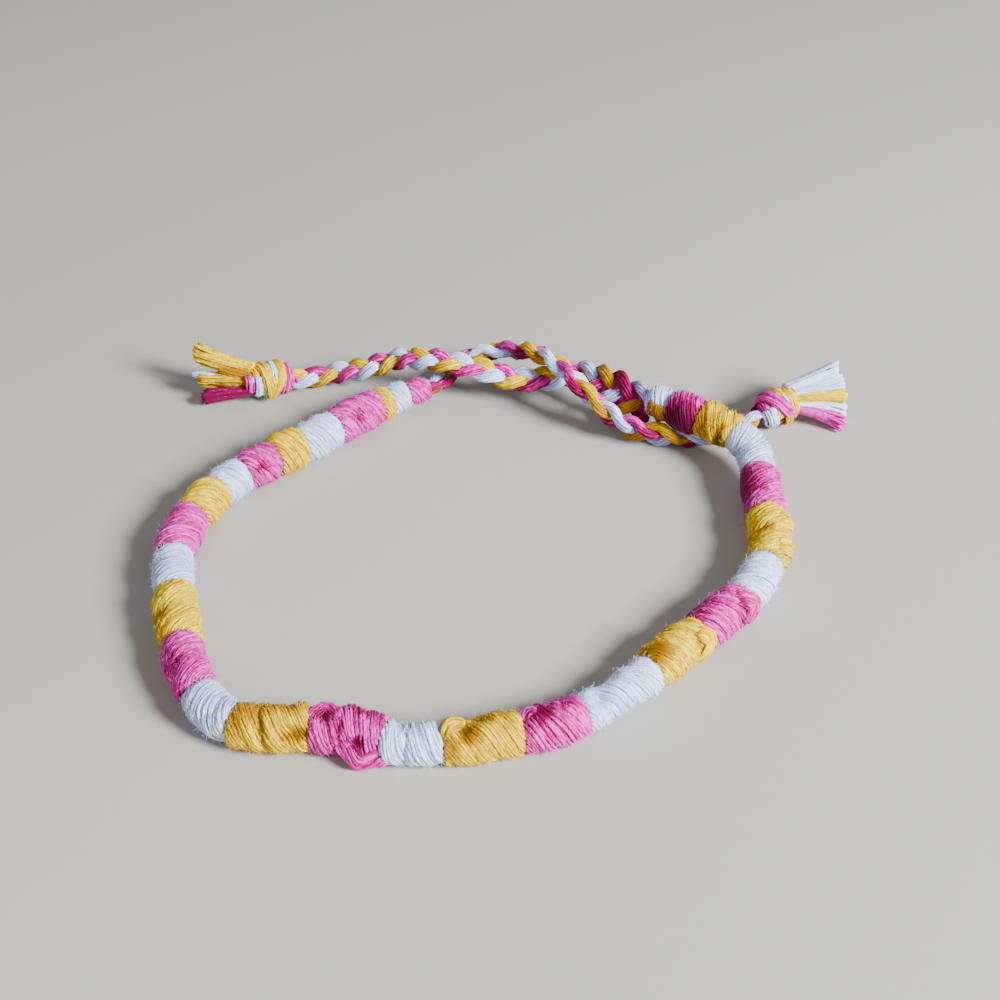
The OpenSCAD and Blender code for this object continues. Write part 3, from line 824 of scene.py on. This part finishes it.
class Wraps:
    """One wrapped section: what its threads do at a distance along the band and an angle round it."""

    def __init__(self, number, line, sizes):
        lengths = np.array([section.length for section in SECTIONS])
        edges = np.concatenate([[0], np.cumsum(lengths)]) * line.length / lengths.sum()
        self.number, self.line, self.sizes = number, line, sizes
        self.colour, _, self.thick, self.lead = SECTIONS[number - 1]
        self.start, self.finish = edges[number - 1] + SECTION_GAP, edges[number] - SECTION_GAP
        self.length = self.finish - self.start

    def dent(self, mark, run, angle):
        """How much of a mark is felt: one at its middle, falling off as a bell with the distance along the
        band and round it."""
        far = (run - self.start - mark.share * self.length) / mark.half_length
        round_ = (angle - np.radians(mark.turn) + np.pi) % (2 * np.pi) - np.pi
        return np.exp(-((far**2 + (round_ * self.thick / 2 / mark.half_width) ** 2) ** 1.4))

    def surface(self, run, angle):
        """Radius, shade and shift along the band: a pinched sine bulge with low lumps, which are sines along
        the band times cosines round it, less every mark's depth. The shade is the strongest painted shade of
        the marks."""
        share = np.clip((run - self.start) / self.length, 0, 1)
        pinch = self.sizes.pinch
        radius = self.thick / 2 * (pinch + (1 - pinch) * np.sin(np.pi * share) ** 0.5)
        number = self.number
        lumps = np.sin(run * 1.7 + 2.3 * number) * np.cos(angle - 1.9 * number)
        lumps = lumps + 0.7 * np.sin(run * 3.1 + number) * np.cos(2 * angle + 0.7 * number)
        radius = radius + self.sizes.lumps * lumps
        shade, shift = np.zeros_like(run), np.zeros_like(run)
        for mark in MARKS:
            if mark.section == self.number:
                felt = self.dent(mark, run, angle)
                radius = radius - mark.depth * felt
                shade = np.maximum(shade, mark.shade * felt)
                shift = shift - mark.draw * felt * (run - self.start - mark.share * self.length)
        return radius, shade, shift

    def points(self, run, angle, radius):
        """The band's middle at the distance, plus the radius along the angle's ray. Also returns the ray."""
        middle, _, side, top = self.line.frame(run)
        ray = np.cos(angle)[..., None] * side + np.sin(angle)[..., None] * top
        return middle + radius[..., None] * ray, ray

    def threads(self, skein):
        """Threads side by side, each a helix: its angle falls evenly while its distance along the band grows.
        Each strays a little, sinks where the knots press, and dives under at the section's two ends."""
        sizes, lead = self.sizes, self.lead
        round_ = np.pi * self.thick
        count = int(round(lead * round_ / np.hypot(lead, round_) / sizes.spacing))
        turns = self.length / lead
        rings = int(np.ceil(turns * TURN_RINGS)) + 1
        turn = np.linspace(0, turns, rings)[None]
        lane = np.arange(count)[:, None]
        angle = 0.7 * self.number - 2 * np.pi * (turn + lane / count)
        run = self.start + lead * (turn + 0 * lane)
        seed = 10 * self.number
        edge = np.clip(np.minimum(run - self.start, self.finish - run) / WRAP_EDGE, 0, 1)
        run = run + sizes.wander * edge * wave(angle * 0.9, seed)
        radius, shade, shift = self.surface(run, angle)
        run = run + shift * edge
        half = sizes.thread / 2
        radius = radius - half * 0.8 + 0.035 * wave(angle * 1.3, seed + 1)
        radius = radius + 0.02 * wave(lane * 1.7 + 0 * angle, seed + 3) - WRAP_DIVE * (1 - edge) ** 2
        paths, ray = self.points(run, angle, radius)
        thickness = half * (1 + 0.12 * wave(angle * 0.7, seed + 2))
        skein.add_tubes(paths, ray, thickness, self.colour, shade, sides=6, ply=TIGHT_PLY)

    def core(self, skein):
        """The body under the threads, painted part way to the deep colour so that the gaps between them show
        as shade: a tube with the same marks, a thread's thickness further in.
        """
        rings, sides = max(6, int(self.length / 0.35)), 32
        run, angle = np.linspace(self.start, self.finish, rings), np.arange(sides) * 2 * np.pi / sides
        grid_run, grid_angle = np.meshgrid(run, angle, indexing="ij")
        radius, _, _ = self.surface(grid_run, grid_angle)
        radius = radius - self.sizes.thread * 0.55
        middle, _, _, top = self.line.frame(run)
        skein.add_tubes(
            middle[None], top[None], radius[None], self.colour, shade=0.5, sides=sides, flat=1.0, strand=0.0
        )

    def loops(self, skein):
        """Threads drawn over the wraps: distance and angle go from start to end, bowed by a half sine, and
        the height over the wraps is a half sine too, highest for the outermost thread. Both ends dive under
        the wraps."""
        t = np.linspace(0, 1, 26)[None]
        arch = np.sin(np.pi * t)
        for row, loop in enumerate(LOOPS):
            if loop.section != self.number:
                continue
            lane = np.linspace(-0.5, 0.5, loop.threads)[:, None]
            share = loop.share0 + (loop.share1 - loop.share0) * t + loop.bow * arch
            angle = np.radians(loop.turn0 + (loop.turn1 - loop.turn0) * t + loop.swing * arch) + 0 * lane
            run = self.start + share * self.length + 0 * lane
            ahead_run, ahead_angle = np.gradient(run, axis=1), np.gradient(angle, axis=1) * self.thick / 2
            size = np.maximum(np.hypot(ahead_run, ahead_angle), 1e-6)
            fan = lane * loop.spread * (0.75 + 0.25 * arch)
            run = run - fan * ahead_angle / size
            angle = angle + fan * ahead_run / size / (self.thick / 2)
            radius, shade, _ = self.surface(np.clip(run, self.start, self.finish), angle)
            half = self.sizes.thread / 2
            outer = 0.5 + lane if loop.swing + 100 * loop.bow > 0 else 0.5 - lane
            radius = radius + half * 0.15 + loop.lift * (0.35 + 0.65 * outer) * arch**0.8
            radius = radius - 0.55 * (1 - np.clip(arch * 3, 0, 1)) ** 2 + 0.05 * wave(angle * 2, 900 + row)
            paths, ray = self.points(run, angle, radius)
            # Painted shade where the ends dive under the wraps, and on the inner threads over a mark's
            # painted shade, with the row's own painted shade or light on top
            shade = loop.shade + 0.35 * (1 - arch) + 0.9 * shade * (1 - outer)
            skein.add_tubes(lifted(paths, 0.2), ray, half, loop.colour, shade, sides=7, ply=LOOSE_PLY)

    def fuzz(self, skein):
        """Stray fibres: each starts at a random place on the wraps and leaves at a slant, mostly the way the
        threads lie, bending as the square of its length."""
        dice = np.random.default_rng(3000 + self.number)
        count = int(self.length * np.pi * self.thick * self.sizes.fuzz * FIBRE_SHARES[self.colour])
        run = dice.uniform(self.start, self.finish, (count, 1))
        angle = dice.uniform(0, 2 * np.pi, (count, 1))
        radius, shade, _ = self.surface(run, angle)
        base, ray = self.points(run, angle, radius - 0.1)
        _, along, _, _ = self.line.frame(run)
        lay = np.cross(along, ray)
        way = dice.choice([-1, 1], (count, 1, 1))
        lift, slant = dice.uniform(0.1, 0.9, (count, 1, 1)), dice.normal(0, 0.5, (count, 1, 1))
        head = unit(way * lay + lift * ray + slant * along)
        curl = unit(dice.normal(0, 1, (count, 1, 3)) - 0.2 * ray)
        length = self.sizes.fuzz_length * dice.uniform(0.5, 1.5, (count, 1, 1))
        t = np.linspace(0, 1, 3)[None, :, None]
        paths = lifted(base + head * length * t + curl * length * FIBRE_CURL * t**2, 0.03)
        outward = np.broadcast_to(ray, paths.shape) + 1e-3
        # The fibres are painted light, as where they catch the light, and take on the wraps' painted shade
        # only where it is strong
        half, shade = FIBRE_HALF * (1 - 0.5 * t[..., 0]), 4.0 * (shade - 1) + 0 * t[..., 0]
        skein.add_tubes(paths, outward, half, self.colour, shade, sides=3, flat=1.0, strand=0.8)


class BRACELET_OT_band(bpy.types.Operator):
    """Make the wrapped sections of the band"""

    bl_idname = "bracelet.band"
    bl_label = "Wrapped band"

    def execute(self, context):
        line = Line(BAND_ROUTE)
        for number, section in enumerate(SECTIONS, 1):
            node = f"wrap_{number:02d}_{COLOUR_NAMES[section.colour]}"
            wraps = Wraps(number, line, context.scene.bracelet_wraps)
            skein = Skein()
            wraps.threads(skein)
            wraps.core(skein)
            wraps.loops(skein)
            wraps.fuzz(skein)
            skein.make(f"{node}_threads", [node])
        return {"FINISHED"}


class BRACELET_PT_panel(bpy.types.Panel):
    """The bracelet's pieces, sizes and colours"""

    bl_label = "Bracelet"
    bl_idname = "BRACELET_PT_panel"
    bl_space_type = "VIEW_3D"
    bl_region_type = "UI"
    bl_category = "Bracelet"

    def draw(self, context):
        for operator in OPERATORS:
            self.layout.operator(operator.bl_idname)
        for group in GROUPS:
            box = self.layout.box()
            settings = getattr(context.scene, group)
            for name in GROUPS[group].__annotations__:
                box.prop(settings, name)


OPERATORS = (BRACELET_OT_stage, BRACELET_OT_ties, BRACELET_OT_band)
GROUPS = {
    "bracelet_wraps": WrapSizes,
    "bracelet_braid": BraidSizes,
    "bracelet_colours": ThreadColours,
    "bracelet_stage": StageSettings,
}


def register():
    for cls in (*GROUPS.values(), *OPERATORS, BRACELET_PT_panel):
        bpy.utils.register_class(cls)
    for name, group in GROUPS.items():
        setattr(bpy.types.Scene, name, PointerProperty(type=group))


def unregister():
    for name in GROUPS:
        delattr(bpy.types.Scene, name)
    for cls in reversed((*GROUPS.values(), *OPERATORS, BRACELET_PT_panel)):
        bpy.utils.unregister_class(cls)


def main():
    register()
    bpy.ops.bracelet.stage()
    bpy.ops.bracelet.ties()
    bpy.ops.bracelet.band()


if __name__ == "__main__":
    main()
